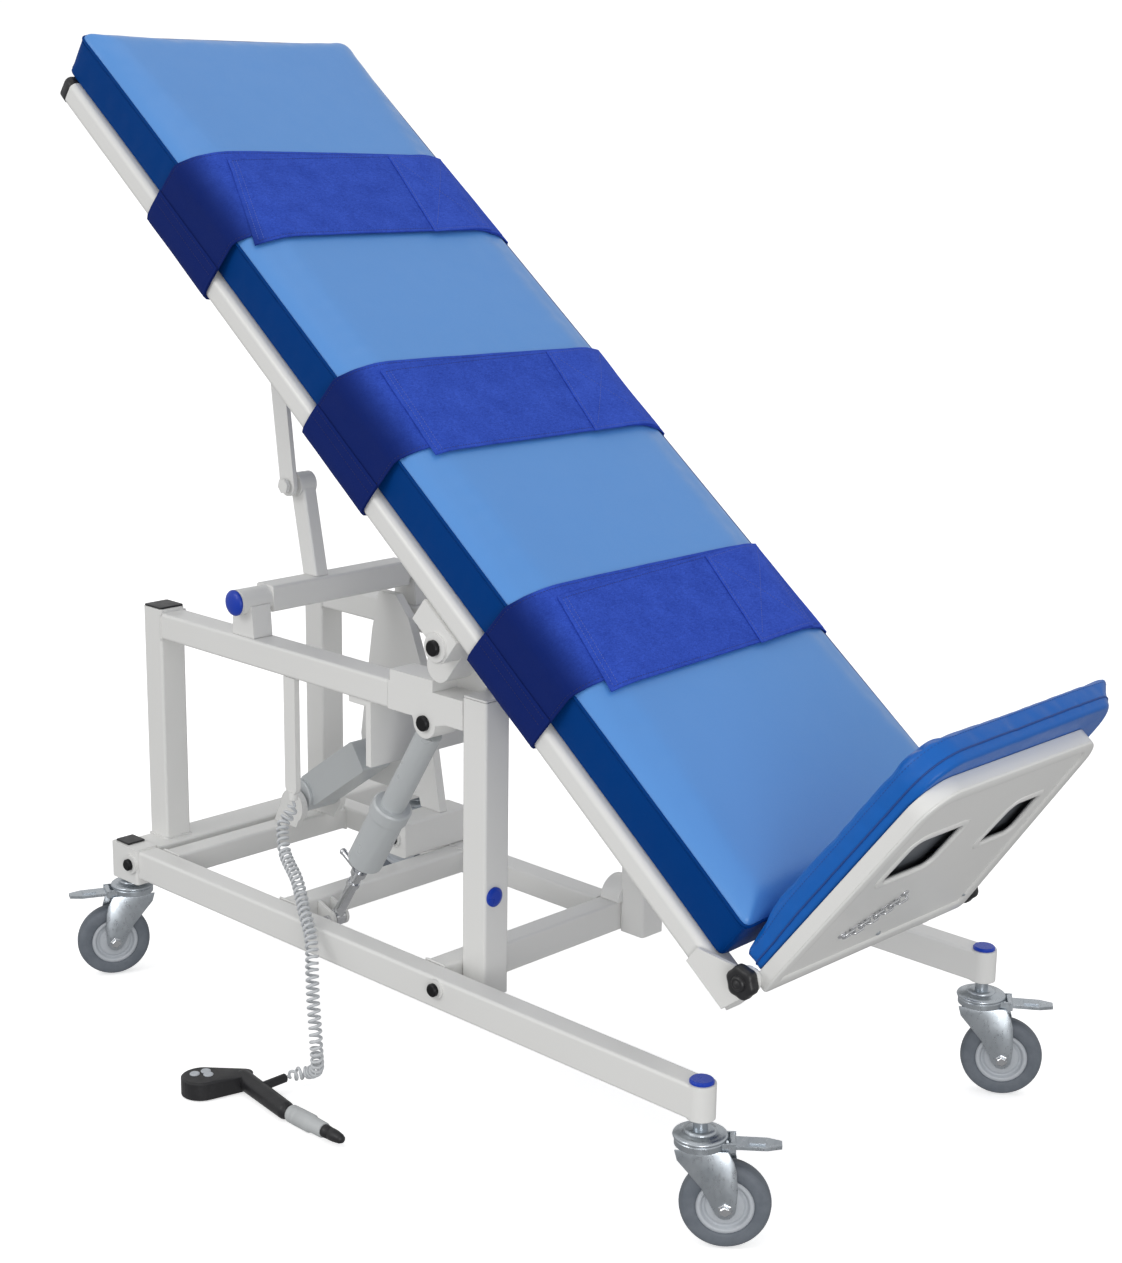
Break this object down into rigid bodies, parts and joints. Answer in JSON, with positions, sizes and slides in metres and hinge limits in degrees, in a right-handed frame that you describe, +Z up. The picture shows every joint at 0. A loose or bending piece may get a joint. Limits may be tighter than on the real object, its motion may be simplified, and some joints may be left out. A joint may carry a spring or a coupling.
{
  "type": "physiotherapy tilt table",
  "caption": "Wheeled steel tilt table with a padded blue bed, body straps, a padded foot board with star knobs, a lift cylinder, a lever link and a corded hand control",
  "frame": {"origin": "centre of the bounding box on the floor, without the cord", "axes": "+Z up, +X along the bed towards the foot board, +Y across to the far side"},
  "size_m": [1.7843, 0.9737, 1.5666],
  "materials": {
    "white_paint": "semi gloss powder coat",
    "grey_paint": "satin",
    "chrome_steel": "bright",
    "zinc_steel": "zinc plated",
    "black_steel": "satin",
    "black_plastic": "fine grain",
    "grey_plastic": "matt",
    "blue_plastic": "smooth",
    "blue_vinyl": "smooth coated cloth",
    "navy_webbing": "woven",
    "grey_rubber": "matt"
  },
  "bodies": {
    "frame": {"near_rail": "white_paint", "rear_block": "white_paint", "rear_cross": "white_paint", "inner_crosses": "white_paint", "front_cross": "white_paint", "inner_rail": "white_paint", "far_arm": "white_paint", "landing_beam": "white_paint", "rear_posts": "white_paint", "front_posts": "white_paint", "upper_rails": "white_paint", "hinge_heads": "white_paint", "hinge_pins": "black_steel", "saddles": "white_paint", "cross_panel": "white_paint", "support_plate": "white_paint", "lift_cylinder": "grey_paint", "cylinder_foot": "chrome_steel", "cylinder_ears": "white_paint", "box_unit": "grey_paint", "clevis": "white_paint", "hanger_bar": "white_paint", "blue_caps": "blue_plastic", "black_caps": "black_plastic", "frame_bolts": "black_steel", "curly_cord": "grey_plastic", "handset": "black_plastic", "handset_sleeve": "grey_plastic"},
    "valve": {"valve_lever": "chrome_steel"},
    "bed": {"bed_near_rail": "white_paint", "bed_far_rail": "white_paint", "bed_cross_bars": "white_paint", "bed_end_caps": "black_plastic", "hinge_brackets": "white_paint", "link_bracket": "white_paint", "bed_pad": "blue_vinyl", "strap_head": "navy_webbing", "strap_mid": "navy_webbing", "strap_foot": "navy_webbing", "foot_ears": "white_paint"},
    "foot_board": {"footrest_tray": "white_paint", "footrest_pad": "blue_vinyl", "footrest_hooks": "chrome_steel"},
    "knob_a": {"knob_near": "black_plastic"},
    "knob_b": {"knob_far": "black_plastic"},
    "rocker": {"rocker_tube": "white_paint", "rocker_lever": "white_paint"},
    "link": {"link_bar": "white_paint"},
    "swivel_1": {"caster_fork_1": "zinc_steel"},
    "wheel_1": {"caster_wheel_1": "grey_rubber"},
    "pedal_1": {"caster_pedal_1": "zinc_steel"},
    "swivel_2": {"caster_fork_2": "zinc_steel"},
    "wheel_2": {"caster_wheel_2": "grey_rubber"},
    "pedal_2": {"caster_pedal_2": "zinc_steel"},
    "swivel_3": {"caster_fork_3": "zinc_steel"},
    "wheel_3": {"caster_wheel_3": "grey_rubber"},
    "pedal_3": {"caster_pedal_3": "zinc_steel"},
    "swivel_4": {"caster_fork_4": "zinc_steel"},
    "wheel_4": {"caster_wheel_4": "grey_rubber"},
    "pedal_4": {"caster_pedal_4": "zinc_steel"}
  },
  "joints": [
    {"name": "bed_tilt", "type": "hinge", "parent": "frame", "child": "bed", "pos_m": [0.0254, -0.1668, 0.722], "axis": [0, 1, 0], "range_deg": [-38, 0]},
    {"name": "rocker_turn", "type": "hinge", "parent": "frame", "child": "rocker", "pos_m": [-0.4816, -0.1668, 0.697], "axis": [0, 1, 0], "range_deg": [-171, 0]},
    {"name": "link_turn", "type": "hinge", "parent": "rocker", "child": "link", "pos_m": [-0.51679, -0.0578, 0.86843], "axis": [0, 1, 0], "range_deg": [0, 128.5]},
    {"name": "foot_board_angle", "type": "hinge", "parent": "bed", "child": "foot_board", "pos_m": [0.62643, -0.1668, 0.39328], "axis": [0, 1, 0], "range_deg": [-10, 35]},
    {"name": "near_knob_turn", "type": "hinge", "parent": "bed", "child": "knob_a", "pos_m": [0.62643, -0.2308, 0.39328], "axis": [0, 1, 0], "continuous": true},
    {"name": "far_knob_turn", "type": "hinge", "parent": "bed", "child": "knob_b", "pos_m": [0.62643, 0.2492, 0.39328], "axis": [0, 1, 0], "continuous": true},
    {"name": "valve_turn", "type": "hinge", "parent": "frame", "child": "valve", "pos_m": [-0.21724, -0.1668, 0.30051], "axis": [-0.5299, 0, -0.848], "range_deg": [-30, 30]},
    {"name": "swivel_turn_1", "type": "hinge", "parent": "frame", "child": "swivel_1", "pos_m": [0.5684, -0.2468, 0.16], "axis": [0, 0, 1], "continuous": true},
    {"name": "wheel_roll_1", "type": "hinge", "parent": "swivel_1", "child": "wheel_1", "pos_m": [0.59598, -0.22366, 0.0625], "axis": [-0.6428, 0.766, 0], "continuous": true},
    {"name": "pedal_press_1", "type": "hinge", "parent": "swivel_1", "child": "pedal_1", "pos_m": [0.60134, -0.21916, 0.152], "axis": [-0.6428, 0.766, 0], "range_deg": [0, 15]},
    {"name": "swivel_turn_2", "type": "hinge", "parent": "frame", "child": "swivel_2", "pos_m": [0.5684, 0.4182, 0.16], "axis": [0, 0, 1], "continuous": true},
    {"name": "wheel_roll_2", "type": "hinge", "parent": "swivel_2", "child": "wheel_2", "pos_m": [0.59789, 0.43885, 0.0625], "axis": [-0.5736, 0.8192, 0], "continuous": true},
    {"name": "pedal_press_2", "type": "hinge", "parent": "swivel_2", "child": "pedal_2", "pos_m": [0.60362, 0.44286, 0.152], "axis": [-0.5736, 0.8192, 0], "range_deg": [0, 15]},
    {"name": "swivel_turn_3", "type": "hinge", "parent": "frame", "child": "swivel_3", "pos_m": [-0.7316, -0.2468, 0.16], "axis": [0, 0, 1], "continuous": true},
    {"name": "wheel_roll_3", "type": "hinge", "parent": "swivel_3", "child": "wheel_3", "pos_m": [-0.74681, -0.27943, 0.0625], "axis": [0.9063, -0.4226, 0], "continuous": true},
    {"name": "pedal_press_3", "type": "hinge", "parent": "swivel_3", "child": "pedal_3", "pos_m": [-0.74977, -0.28577, 0.152], "axis": [0.9063, -0.4226, 0], "range_deg": [0, 15]},
    {"name": "swivel_turn_4", "type": "hinge", "parent": "frame", "child": "swivel_4", "pos_m": [-0.7316, 0.4182, 0.16], "axis": [0, 0, 1], "continuous": true},
    {"name": "wheel_roll_4", "type": "hinge", "parent": "swivel_4", "child": "wheel_4", "pos_m": [-0.76543, 0.40589, 0.0625], "axis": [0.342, -0.9397, 0], "continuous": true},
    {"name": "pedal_press_4", "type": "hinge", "parent": "swivel_4", "child": "pedal_4", "pos_m": [-0.77201, 0.40349, 0.152], "axis": [0.342, -0.9397, 0], "range_deg": [0, 15]}
  ],
  "couplings": [
    {"joint": "rocker_turn", "follows": "bed_tilt", "ratio": 4.4945},
    {"joint": "link_turn", "follows": "bed_tilt", "ratio": -3.3665}
  ]
}
